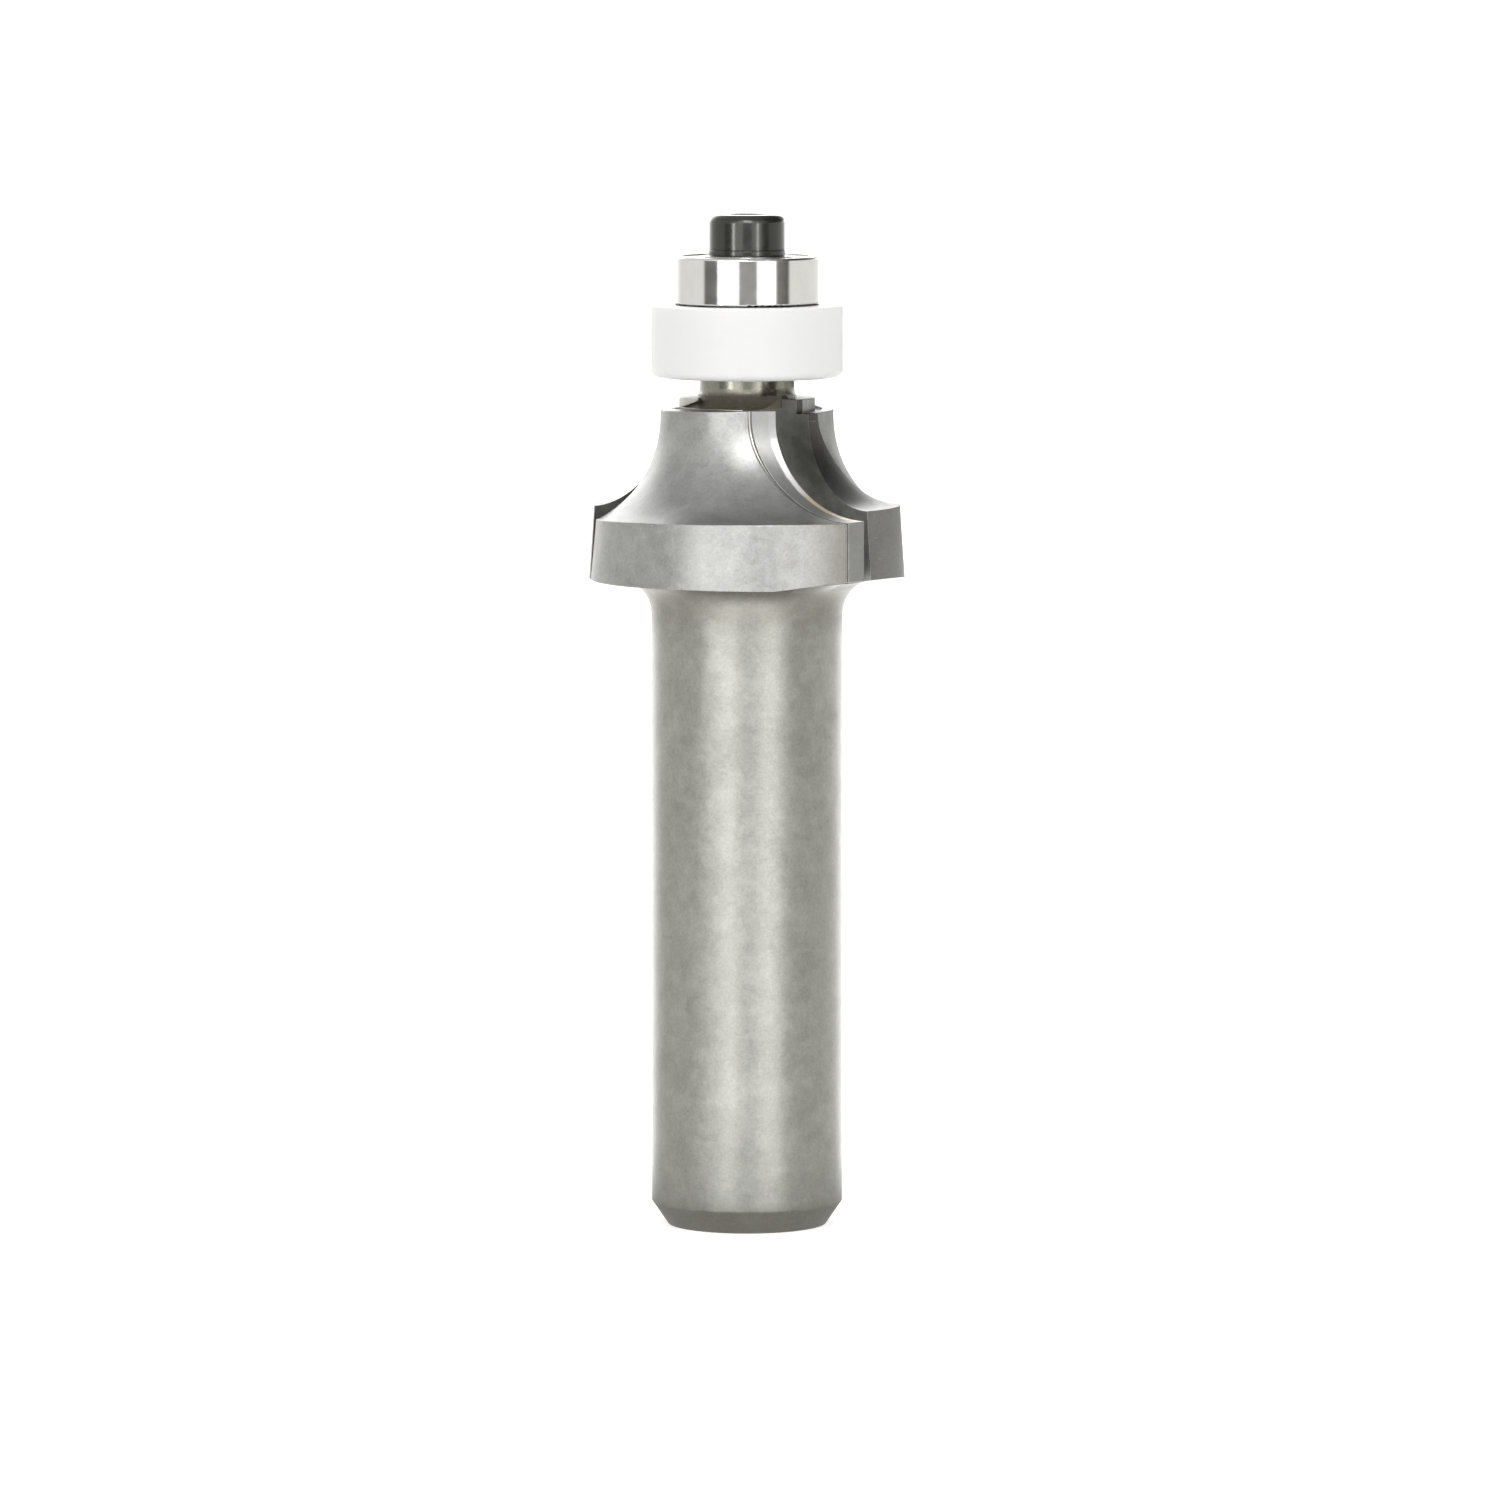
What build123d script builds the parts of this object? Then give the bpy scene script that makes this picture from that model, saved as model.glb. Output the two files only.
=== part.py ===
from build123d import *
import math
import os

# Roundover router bit with two guide bearings, in millimetres.
# The origin is the centre of the shank's end face and +Z runs along the axis, towards the cap screw.
# The bit turns counter-clockwise seen from the cap screw, so the front wing leads on its right.

# Shank
shank_diameter = 12.7
shank_length = 40.8          # plain length, up to the foot of the fillet
shank_fillet = 2.4           # concave fillet between the shank and the flange
end_chamfer_width = 1.08
end_chamfer_height = 1.57

# Cutting profile: the round that the bit leaves on a board
cutting_radius = 6.35
rim_height = 4.47            # from the flange's underside to the lower end of the cutting arc
top_land = 0.58              # straight land above the cutting arc

# Core of the head, which limits the chip
core_rim_diameter = 20.3     # at its upper corner
core_rim_taper = 0.33        # how much further out the rim stands at the underside
core_rim_rise = 0.38         # its upper corner above the lower end of the cutting arc
core_top_diameter = 10.86
core_ledge_drop = 0.35       # its ledge below the top of the wings
boss_diameter = 9.0
boss_height = 0.93           # above the ledge of the core

# Wings
rake_offset = 3.84           # distance of the front cutting face from the axis
rake_heading = -35.4         # direction of that face in plan, in degrees from +X
wing_sweep = 108.0           # how far a wing runs back from its cutting face, in degrees
steel_step = 0.13            # steel below the cutting profile, just behind the carbide
tail_relief = 1.0            # steel below the cutting profile at the wing's tail
tail_top_drop = 0.3          # how far the wing's top falls towards its tail
tail_rim_diameter = 20.1
tail_rim_taper = 0.4
underside_start = 8.4        # where the underside starts to rise, along the cutting face
underside_slope = 9.0        # in degrees

# Cutting plates
carbide_thickness = 1.05
carbide_clearance = 0.1      # how far the plate's ground surface falls from its front to its back
braze_thickness = 0.12
braze_recess = 0.1           # foil below the ground surface of the plate

# Gullet, milled ahead of each cutting face with a disc
gullet_width = 3.2
gullet_floor = 3.2           # along the cutting face
gullet_disc_radius = 12.75
gullet_straight = 0.9        # straight floor below the top of the wings, before the run-out
gullet_exit = 0.5            # how far the disc breaks out below the flange

# Neck and the pocket ground into the boss above each wing
neck_flare = 1.3
neck_clear = 1.37            # open height between the boss and the guide sleeve
pocket_tail = -3.1           # where the pocket's mouth ends on the side of the wing's tail
pocket_undercut = 1.2        # how much further it reaches at its floor
pocket_tip = 2.35            # where it ends on the side of the cutting edge

# Guide sleeve
guide_diameter = 12.7
guide_height = 4.763
guide_corner = 0.5           # round on its lower edge
guide_edge_break = 0.1       # and on its upper edge
guide_lip_width = 0.31       # stop lip under the lower bearing, inwards from its rim

# Ball bearings, one in the white sleeve and one above it, laid out from the circle of their balls
ball_pitch_diameter = 7.144
ball_diameter = 1.588
ball_count = 8
ball_play = 0.012            # between ball and groove
race_wall = 0.3965           # metal between a ball and the bore, and between a ball and the rim
groove_depth = 0.22
groove_conformity = 0.52     # groove radius over ball diameter
bearing_width = 3.175
bearing_corner = 0.15
shield_thickness = 0.2
shield_recess = 0.1          # below the face of the rings
shield_seat_depth = 0.25     # how far the shield lies in the outer ring, radially
shield_seat_play = 0.008
shield_gap = 0.12            # between shield and inner ring
cage_width = 0.56            # radially
cage_web = 0.3               # ring of the cage under its pockets
cage_grip = 0.36             # how far the fingers reach past the middle of the balls
cage_play = 0.03             # between ball and pocket
stack_gap = 0.05             # running gap between the sleeve and the upper bearing

# Clamping stack
lower_spacer_thickness = 0.4
spacer_width = 0.57          # radially
stud_clearance = 0.008       # of the stud in the bores, on the radius
stud_setback = 0.25          # stud end below the upper face of the upper bearing
stud_shoulder = 0.75         # step from the neck to the stud, radially
washer_overlap = 0.16        # of the washer on the upper bearing's inner ring, radially
washer_thickness = 0.4

# Cap screw
screw_head_diameter = 5.0
screw_head_height = 2.35
screw_head_round = 0.5
screw_diameter = 2.84
screw_length = 9.5
screw_point = 0.4
thread_clearance = 0.01
tapped_depth = 10.6          # from the end of the stud
hex_flats = 2.38
hex_depth = 1.3
hex_cone_angle = 118.0
hex_lead = 0.12              # bevel at the mouth of the hexagon

# Room for the grinding and milling tools outside the head, and where a wing's ground surface begins
tool_reach = 3.0
wing_root = 0.6

# Resolution of the cutting arc and of the wing's sweep
cove_steps = 6
wing_sections = 5

# Heights that follow
flange_z = shank_length + shank_fillet
corner_z = flange_z + rim_height
cove_centre_z = corner_z + cutting_radius
wing_top_z = cove_centre_z + top_land
ledge_z = wing_top_z - core_ledge_drop
boss_z = ledge_z + boss_height
guide_z = boss_z + neck_clear
guide_top_z = guide_z + guide_height
lower_bearing_z = guide_z + (guide_height - bearing_width) / 2
shoulder_z = lower_bearing_z - lower_spacer_thickness
upper_bearing_z = guide_top_z + stack_gap
stack_top_z = upper_bearing_z + bearing_width
stud_end_z = stack_top_z - stud_setback
head_z = stack_top_z + washer_thickness
top_z = head_z + screw_head_height

# Radii that follow
shank_radius = shank_diameter / 2
major_radius = guide_diameter / 2 + cutting_radius
clear_radius = major_radius + tool_reach
steel_offset = rake_offset + carbide_thickness + braze_thickness
ball_radius = ball_diameter / 2
pitch_radius = ball_pitch_diameter / 2
bore_radius = pitch_radius - ball_radius - race_wall
bearing_radius = pitch_radius + ball_radius + race_wall
inner_land_radius = pitch_radius - ball_radius + groove_depth
outer_land_radius = pitch_radius + ball_radius - groove_depth
shield_seat_radius = outer_land_radius + shield_seat_depth
stud_radius = bore_radius - stud_clearance
neck_radius = stud_radius + stud_shoulder
spacer_radius = bore_radius + spacer_width
washer_radius = bore_radius + washer_overlap
screw_radius = screw_diameter / 2


def turned(points):
    """Solid turned about Z from an outline of (radius, height) points."""
    return revolve(make_face(Plane.XZ * Polyline(*points, close=True)), Axis.Z)


def ring(inner_radius, outer_radius, bottom, top):
    """Plain turned ring."""
    return turned([(inner_radius, bottom), (outer_radius, bottom), (outer_radius, top), (inner_radius, top)])


def opposite(shape):
    """The same shape on the other side of the axis."""
    return Rot(0, 0, 180) * shape


def face_plane(offset, turn=0.0):
    """Upright plane beside the axis: x runs outwards along the face, y up, z back into the wing."""
    heading = math.radians(rake_heading - turn)
    outwards = (math.cos(heading), math.sin(heading), 0)
    back = (math.sin(heading), -math.cos(heading), 0)
    origin = (offset * back[0], offset * back[1], 0)
    return Plane(origin=origin, x_dir=outwards, z_dir=back)


def along_face(radius, offset):
    """Where an upright plane at this offset from the axis meets a given radius."""
    return math.sqrt(radius**2 - offset**2)


def profile_section(offset, turn, relief, rim_top, rim_bottom, top_z=wing_top_z):
    """The cutting profile as it stands on one plane, drawn back by a relief along its normal."""
    cove_radius = cutting_radius + relief
    rim_angle = math.asin((major_radius - rim_top) / cove_radius)
    cove = []
    for step in range(cove_steps + 1):
        angle = rim_angle + (math.pi / 2 - rim_angle) * step / cove_steps
        radius = major_radius - cove_radius * math.sin(angle)
        cove.append((along_face(radius, offset), cove_centre_z - cove_radius * math.cos(angle)))
    foot = (along_face(rim_bottom, offset), flange_z)
    outline = [
        Line((0, flange_z), foot),
        Line(foot, cove[0]),
        Spline(*cove),
        Line(cove[-1], (cove[-1][0], top_z)),
        Line((cove[-1][0], top_z), (0, top_z)),
        Line((0, top_z), (0, flange_z)),
    ]
    return face_plane(offset, turn) * make_face(outline)


def gullet_outline():
    """Side view of the gullet on the cutting face: a straight floor that runs out along the disc."""
    runout_z = wing_top_z - gullet_straight
    exit_angle = math.degrees(math.asin((runout_z - flange_z + gullet_exit) / gullet_disc_radius))
    run_out = CenterArc((gullet_floor + gullet_disc_radius, runout_z), gullet_disc_radius, 180, exit_angle)
    start = (gullet_floor, runout_z)
    end = run_out @ 1
    above = boss_z + neck_clear / 2
    outline = [
        Line((gullet_floor, above), start),
        run_out,
        Line(end, (clear_radius, end.Y)),
        Line((clear_radius, end.Y), (clear_radius, above)),
        Line((clear_radius, above), (gullet_floor, above)),
    ]
    return make_face(outline)


def gullet_slab(front, back):
    """The gullet's side view made solid between two offsets from the axis."""
    return extrude(face_plane(front) * gullet_outline(), amount=back - front)


def underside_tool():
    """Wedge that lifts the flange's underside towards the cutting edge."""
    reach = clear_radius - underside_start
    rise = reach * math.tan(math.radians(underside_slope))
    outline = Polyline(
        (underside_start, flange_z),
        (clear_radius, flange_z + rise),
        (clear_radius, flange_z - shank_fillet),
        (underside_start, flange_z - shank_fillet),
        close=True,
    )
    return extrude(face_plane(0) * make_face(outline), amount=clear_radius, both=True)


def wing():
    """Steel wing: the cutting profile swept back about the axis, its relief growing as the sweep squared."""
    tail_rim = tail_rim_diameter / 2
    sections = []
    for index in range(wing_sections):
        share = index / (wing_sections - 1)
        relief = steel_step + (tail_relief - steel_step) * share**2
        rim_top = major_radius - steel_step + (tail_rim - major_radius + steel_step) * share
        rim_bottom = rim_top + tail_rim_taper * share
        top_z = wing_top_z - tail_top_drop * share
        sections.append(profile_section(steel_offset, wing_sweep * share, relief, rim_top, rim_bottom, top_z))
    return loft(sections)


def wing_clearing():
    """Everything that grinding the wing takes off the core, as a wedge open to the outside."""
    corners = []
    inner = []
    for index in range(wing_sections):
        plane = face_plane(steel_offset, wing_sweep * index / (wing_sections - 1))
        inner.append(plane.from_local_coords((wing_root, 0, 0)))
        corners.append(plane.from_local_coords((clear_radius, 0, 0)))
    outline = [
        Line(inner[0], corners[0]),
        Polyline(*corners),
        Line(corners[-1], inner[-1]),
        Spline(*reversed(inner)),
    ]
    height = wing_top_z - flange_z
    return Pos(0, 0, flange_z) * extrude(make_face(outline), amount=height)


def core():
    """Turned blank: shank, fillet, flange, chip-limiting cove, ledge, boss, neck and stud."""
    rim = core_rim_diameter / 2
    top = core_top_diameter / 2
    core_corner_z = corner_z + core_rim_rise
    flare_z = wing_top_z + neck_flare
    outline = [
        Line((0, 0), (shank_radius - end_chamfer_width, 0)),
        Line((shank_radius - end_chamfer_width, 0), (shank_radius, end_chamfer_height)),
        Line((shank_radius, end_chamfer_height), (shank_radius, shank_length)),
        CenterArc((shank_radius + shank_fillet, shank_length), shank_fillet, 180, -90),
        Line((shank_radius + shank_fillet, flange_z), (rim + core_rim_taper, flange_z)),
        Line((rim + core_rim_taper, flange_z), (rim, core_corner_z)),
        EllipticalCenterArc((rim, ledge_z), rim - top, ledge_z - core_corner_z, 180, arc_size=90),
        Line((top, ledge_z), (boss_diameter / 2, ledge_z)),
        Line((boss_diameter / 2, ledge_z), (boss_diameter / 2, boss_z)),
        Line((boss_diameter / 2, boss_z), (0, boss_z)),
        Line((0, boss_z), (0, 0)),
    ]
    blank = revolve(make_face([Plane.XZ * edge for edge in outline]), Axis.Z)
    neck_outline = [
        Line((0, wing_top_z), (neck_radius + neck_flare, wing_top_z)),
        CenterArc((neck_radius + neck_flare, flare_z), neck_flare, 270, -90),
        Line((neck_radius, flare_z), (neck_radius, shoulder_z)),
        Line((neck_radius, shoulder_z), (stud_radius, shoulder_z)),
        Line((stud_radius, shoulder_z), (stud_radius, stud_end_z)),
        Line((stud_radius, stud_end_z), (0, stud_end_z)),
        Line((0, stud_end_z), (0, wing_top_z)),
    ]
    neck_and_stud = revolve(make_face([Plane.XZ * edge for edge in neck_outline]), Axis.Z)
    return blank, neck_and_stud


def pocket_outline(tail, height):
    """Plan of the boss pocket at one height, open to the outside."""
    reach = -boss_diameter
    outline = Polyline((pocket_tip, 0), (tail, 0), (tail, reach), (pocket_tip, reach), close=True)
    return Pos(0, 0, height) * make_face(outline)


def boss_pocket():
    """Pocket ground into the boss above a wing, down to the wing's top, undercut at its tail end."""
    floor = pocket_outline(pocket_tail - pocket_undercut, wing_top_z)
    mouth = pocket_outline(pocket_tail, boss_z)
    return loft([floor, mouth], ruled=True)


def tapped_hole():
    """Blind hole for the screw, with the cone that the drill leaves."""
    radius = screw_radius + thread_clearance
    floor_z = stud_end_z - tapped_depth
    tip_z = floor_z - radius / math.tan(math.radians(hex_cone_angle / 2))
    return turned([(0, tip_z), (radius, floor_z), (radius, stack_top_z), (0, stack_top_z)])


def bit_body():
    """The one steel piece: shank, head with two wings, neck and stud."""
    blank, neck_and_stud = core()
    ground = wing_clearing()
    steel_wing = wing()
    pocket = boss_pocket()
    gullet = gullet_slab(rake_offset - gullet_width, steel_offset)
    lift = underside_tool()
    body = blank - pocket - opposite(pocket)
    body = body - ground - opposite(ground)
    body = body + steel_wing + opposite(steel_wing) + neck_and_stud
    body = body - gullet - opposite(gullet)
    body = body - lift - opposite(lift)
    return body - tapped_hole()


def plate(front, back, front_relief, back_relief):
    """One flat layer of a cutting plate, between two offsets from the axis."""
    rim_front = major_radius - front_relief
    rim_back = major_radius - back_relief
    sections = [
        profile_section(front, 0, front_relief, rim_front, rim_front),
        profile_section(back, 0, back_relief, rim_back, rim_back),
    ]
    return (loft(sections, ruled=True) & gullet_slab(front, back)) - underside_tool()


def carbide_tip():
    """Cutting plate: exactly the cutting profile on its face, falling away behind it."""
    return plate(rake_offset, rake_offset + carbide_thickness, 0, carbide_clearance)


def braze():
    """Brazing foil between the plate and the steel, a little below both surfaces."""
    relief = carbide_clearance + braze_recess
    return plate(rake_offset + carbide_thickness, steel_offset, relief, relief)


def ball_groove(radius_of_centre):
    """Torus that cuts the ball groove of a ring, about the middle of the bearing."""
    return Torus(radius_of_centre, groove_conformity * ball_diameter)


def bearing_pieces():
    """The pieces of one shielded ball bearing, about its own middle."""
    half = bearing_width / 2
    groove = groove_conformity * ball_diameter
    seat_depth = shield_recess + shield_thickness

    outer_ring = ring(outer_land_radius, bearing_radius, -half, half)
    circles = outer_ring.edges().filter_by(GeomType.CIRCLE)
    outer_ring = fillet(circles.filter_by(lambda edge: edge.radius > shield_seat_radius), bearing_corner)
    outer_ring = outer_ring - ball_groove(pitch_radius + ball_radius + ball_play - groove)
    inner_ring = ring(bore_radius, inner_land_radius, -half, half)
    inner_ring = inner_ring - ball_groove(pitch_radius - ball_radius - ball_play + groove)

    shield_inner = inner_land_radius + shield_gap
    shield_outer = shield_seat_radius - shield_seat_play
    shield = ring(shield_inner, shield_outer, -shield_thickness / 2, shield_thickness / 2)
    shield_z = half - shield_recess - shield_thickness / 2
    for side in (-1, 1):
        recess_middle = side * (half - seat_depth / 2)
        outer_ring = outer_ring - Pos(0, 0, recess_middle) * Cylinder(shield_seat_radius, seat_depth)

    ball = Pos(pitch_radius, 0, 0) * Sphere(ball_radius)
    pocket = Pos(pitch_radius, 0, 0) * Sphere(ball_radius + cage_play)
    bottom = -ball_radius - cage_play - cage_web
    cage = ring(pitch_radius - cage_width / 2, pitch_radius + cage_width / 2, bottom, cage_grip)
    balls = []
    for index in range(ball_count):
        turn = Rot(0, 0, 360 * index / ball_count)
        balls.append(turn * ball)
        cage = cage - turn * pocket
    return {
        "outer_ring": outer_ring,
        "inner_ring": inner_ring,
        "shield_bottom": Pos(0, 0, -shield_z) * shield,
        "shield_top": Pos(0, 0, shield_z) * shield,
        "cage": cage,
        "balls": Compound(balls),
    }


def guide_sleeve():
    """White sleeve pressed on the lower bearing, which rests on its lip."""
    lip_radius = bearing_radius - guide_lip_width
    guide_radius = guide_diameter / 2
    sleeve = turned([
        (lip_radius, guide_z),
        (guide_radius, guide_z),
        (guide_radius, guide_top_z),
        (bearing_radius, guide_top_z),
        (bearing_radius, lower_bearing_z),
        (lip_radius, lower_bearing_z),
    ])
    rim = sleeve.edges().filter_by(GeomType.CIRCLE).filter_by(lambda edge: edge.radius > bearing_radius)
    sleeve = fillet(rim.sort_by(Axis.Z)[0], guide_corner)
    rim = sleeve.edges().filter_by(GeomType.CIRCLE).filter_by(lambda edge: edge.radius > bearing_radius)
    return fillet(rim.sort_by(Axis.Z)[-1], guide_edge_break)


def cap_screw():
    """Socket-head cap screw with a rounded head and a blind hexagon."""
    head_radius = screw_head_diameter / 2
    tip_z = head_z - screw_length
    screw = turned([
        (0, tip_z),
        (screw_radius - screw_point, tip_z),
        (screw_radius, tip_z + screw_point),
        (screw_radius, head_z),
        (head_radius, head_z),
        (head_radius, top_z),
        (0, top_z),
    ])
    crown = screw.edges().filter_by(GeomType.CIRCLE).sort_by(Axis.Z)[-1]
    screw = fillet(crown, screw_head_round)
    socket_floor = top_z - hex_depth
    corner_radius = hex_flats / math.sqrt(3)
    hexagon = RegularPolygon(hex_flats / 2, 6, major_radius=False)
    socket = Pos(0, 0, socket_floor) * extrude(hexagon, amount=hex_depth)
    cone_height = hex_flats / 2 / math.tan(math.radians(hex_cone_angle / 2))
    drill_point = turned([(0, socket_floor - cone_height), (hex_flats / 2, socket_floor), (0, socket_floor)])
    mouth = turned([
        (0, top_z - hex_lead),
        (corner_radius - hex_lead, top_z - hex_lead),
        (corner_radius, top_z),
        (0, top_z),
    ])
    return screw - socket - drill_point - mouth


def spacer(bottom, top):
    """Thin spacer on the stud between two inner rings."""
    return ring(bore_radius, spacer_radius, bottom, top)


# Every piece under its node's name
nodes = {
    "bit_body": bit_body(),
    "carbide_tip_front": carbide_tip(),
    "carbide_tip_rear": opposite(carbide_tip()),
    "braze_front": braze(),
    "braze_rear": opposite(braze()),
    "lower_spacer": spacer(shoulder_z, lower_bearing_z),
    "upper_spacer": spacer(lower_bearing_z + bearing_width, upper_bearing_z),
    "guide_sleeve": guide_sleeve(),
    "screw_washer": ring(screw_radius + thread_clearance, washer_radius, stack_top_z, head_z),
    "cap_screw": cap_screw(),
}
for place, bottom in (("lower", lower_bearing_z), ("upper", upper_bearing_z)):
    for name, piece in bearing_pieces().items():
        nodes[f"{place}_{name}"] = Pos(0, 0, bottom + bearing_width / 2) * piece

os.makedirs("parts", exist_ok=True)
for name, piece in nodes.items():
    export_step(piece, f"parts/{name}.step")
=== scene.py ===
import math

import bpy
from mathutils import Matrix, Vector


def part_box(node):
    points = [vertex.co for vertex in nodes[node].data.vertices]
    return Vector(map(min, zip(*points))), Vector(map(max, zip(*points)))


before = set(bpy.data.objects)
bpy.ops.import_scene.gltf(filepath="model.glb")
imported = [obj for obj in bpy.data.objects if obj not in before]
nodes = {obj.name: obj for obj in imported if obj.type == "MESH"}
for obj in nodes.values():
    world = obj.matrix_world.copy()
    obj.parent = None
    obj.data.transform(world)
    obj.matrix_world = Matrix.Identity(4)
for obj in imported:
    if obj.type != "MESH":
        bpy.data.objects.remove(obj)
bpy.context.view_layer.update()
MM = 0.001
WHITE = (1, 1, 1, 1)

# Heights on the bit, read off the solids, for materials that change along it
ARC_HEIGHT = 6.93 * MM
shank_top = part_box("carbide_tip_front")[0].z
head_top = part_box("carbide_tip_front")[1].z
arc_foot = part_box("carbide_tip_front")[1].z - ARC_HEIGHT

# The wings in plan: where their ground surfaces begin behind the cutting face, how far they run back,
# and the floor and far wall of the gullet ahead of them
RAKE_HEADING = -35.4
RAKE_OFFSET = 3.84 * MM
STEEL_OFFSET = 5.01 * MM
WING_SWEEP = 108.0
GULLET_FLOOR = 3.2 * MM
GULLET_FAR_WALL = 0.64 * MM

# How far a mask reaches past the surface that it is for
MASK_REACH = 0.02 * MM

# Pitch in the pockets beside the neck, painted light on the boss and painted dark reflections on the neck.
# Across the bit: the pocket's two sides, and where the painted light on the boss's shaded wall begins, is
# whole, fades and ends. Round the neck, in degrees: the same for the near painted dark reflection.
POCKET_FROM = -3.35 * MM
POCKET_TO = 2.3 * MM
BOSS_LIGHT_ACROSS = (-4.6 * MM, -4.4 * MM, -3.4 * MM, -3.0 * MM)
BOSS_LIGHT_UP_TO = (head_top + 0.7 * MM, head_top + 0.6 * MM)
NEAR_DARK_REFLECTION_TURN = (14.0, 20.0, 36.0, 42.0)
FAR_DARK_REFLECTION_TURN = (50.0, 57.0)
FAR_DARK_REFLECTION_SHARE = 0.55

# Body steel: pairs of heights, or of distances behind the cutting face, where a finish, a film, painted light
# or painted shade begins and is whole
SHANK_BEGINS = (shank_top - 0.1 * MM, shank_top - 0.7 * MM)
NECK_BEGINS = (head_top + 0.75 * MM, head_top + 0.9 * MM)
# Where the painted light low on the core and gullet begins and is whole
PAINTED_LIGHT_LOW_HEIGHTS = (arc_foot + 3.5 * MM, arc_foot + 0.2 * MM)
OFF_THE_RIM = (0.3 * MM, 0.8 * MM)
# At the shank's end the brown film is partly stain and partly painted shade on the chamfer
END_FILM_AND_SHADE = (2.4 * MM, 1.2 * MM)
# Painted shade under the flange, laid on in the brown film's colour
FLANGE_PAINTED_SHADE = (shank_top - 4.2 * MM, shank_top - 1.8 * MM)
FLANGE_PAINTED_SHADE_TOP = (shank_top - 0.1 * MM, shank_top - 0.5 * MM)
# Painted shade on the ground wing beside the cutting edge, in the brown film's colour
EDGE_PAINTED_SHADE = (4.6 * MM, 1.4 * MM)
EDGE_PAINTED_SHADE_TOP = (arc_foot + 0.1 * MM, arc_foot - 0.1 * MM)

# How strongly the brown film covers: stains anywhere; at the shank's end, stain and painted shade; under the
# flange and beside the cutting edge, painted shade
STAIN_SHARE = 0.25
END_FILM_AND_SHADE_SHARE = 0.45
FLANGE_PAINTED_SHADE_SHARE = 0.3
EDGE_PAINTED_SHADE_SHARE = 0.42

# Cutting plate: the honed strip behind the face, partly a painted highlight, its foot and its top, where the
# painted highlight fades, and the pitch low on it
HONED_HIGHLIGHT_WIDTH = (0.38 * MM, 0.27 * MM)
HONED_HIGHLIGHT_FROM_FACE = (0.015 * MM, 0.04 * MM)
HONED_HIGHLIGHT_FOOT = (arc_foot - 0.05 * MM, arc_foot + 0.12 * MM)
HONED_HIGHLIGHT_TOP = (head_top - 1.7 * MM, head_top - 2.5 * MM)
HONED_HIGHLIGHT_TOP_SHARE = 0.05
HONED_HIGHLIGHT_RAGGED = 0.2 * MM
HONED_HIGHLIGHT_PITCH = (arc_foot + 1.9 * MM, arc_foot + 1.2 * MM)

# Colours of the bit
SHANK_STEEL = (0.335, 0.335, 0.31, 1)
WING_STEEL = (0.355, 0.357, 0.346, 1)
# Core: painted shade, dark up high, and painted light, lighter low down
CORE_PAINTED_SHADE = (0.098, 0.098, 0.092, 1)
CORE_PAINTED_LIGHT_LOW = (0.21, 0.21, 0.2, 1)
MILLED_STEEL = (0.285, 0.285, 0.27, 1)
# Milled gullet: its lighter colour low down is painted light
MILLED_STEEL_PAINTED_LIGHT_LOW = (0.55, 0.55, 0.535, 1)
# Painted light on the shaded wall of the boss beside the pocket
BOSS_PAINTED_LIGHT = (0.62, 0.60, 0.54, 1)
POCKET_PITCH = (0.15, 0.135, 0.105, 1)
NECK_STEEL = (0.27, 0.26, 0.22, 1)
# Painted dark reflection in streaks down the neck
NECK_PAINTED_DARK_REFLECTION = (0.07, 0.06, 0.045, 1)
# Brown film: real stains, and also the colour of the painted shade at the end, under the flange and beside
# the cutting edge
BROWN_FILM_AND_PAINTED_SHADE = (0.20, 0.175, 0.135, 1)
SCRATCHED_STEEL = (0.5, 0.5, 0.49, 1)
WORN_STEEL = (0.62, 0.61, 0.59, 1)
CARBIDE = (0.29, 0.291, 0.282, 1)
# Honed strip: near white as a painted highlight, and brown with pitch low down
HONED_PAINTED_HIGHLIGHT = (0.95, 0.95, 0.93, 1)
PITCHED_PAINTED_HIGHLIGHT = (0.80, 0.70, 0.52, 1)
WORN_CARBIDE = (0.75, 0.75, 0.75, 1)
BRAZE = (0.5, 0.485, 0.45, 1)
DULL_BRAZE = (0.45, 0.44, 0.41, 1)
ACETAL = (0.85, 0.85, 0.84, 1)
ACETAL_FILM = (0.62, 0.59, 0.52, 1)
WORN_ACETAL = (0.7, 0.69, 0.66, 1)
BLACK_OXIDE = (0.046, 0.047, 0.042, 1)
RUBBED_OXIDE = (0.3, 0.29, 0.27, 1)
PLAIN_STEEL = (0.5, 0.49, 0.47, 1)

# Small steel pieces: colour, lowest and highest roughness, depth of the hairlines, and the pieces
SMALL_STEELS = {
    "bearing steel": (
        (0.72, 0.72, 0.70, 1), 0.07, 0.11, 0.0006 * MM,
        ("upper_outer_ring", "upper_inner_ring", "upper_balls",
         "lower_outer_ring", "lower_inner_ring", "lower_balls"),
    ),
    "shield steel": (
        PLAIN_STEEL, 0.2, 0.32, 0.003 * MM,
        ("upper_shield_top", "upper_shield_bottom", "lower_shield_top", "lower_shield_bottom"),
    ),
    "cage steel": ((0.45, 0.44, 0.42, 1), 0.25, 0.4, 0.003 * MM, ("upper_cage", "lower_cage")),
    "spacer steel": (PLAIN_STEEL, 0.22, 0.36, 0.003 * MM, ("lower_spacer", "upper_spacer")),
}

# Camera: at the height and distance that the photograph's perspective gives
CAMERA_PLACE = (0.0002, -0.620, 0.092)
CAMERA_AIM = (0.0002, 0.0, 0.03169)
CAMERA_LENS = 224.85

# Table and surround
TABLE_HALF = 12.0
TABLE_COLOUR = (0.8, 0.8, 0.8, 1)
TABLE_GLOW = 0.62
SURROUND_AS_LIGHT = 0.76
SURROUND_SEEN = 1.0

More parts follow.
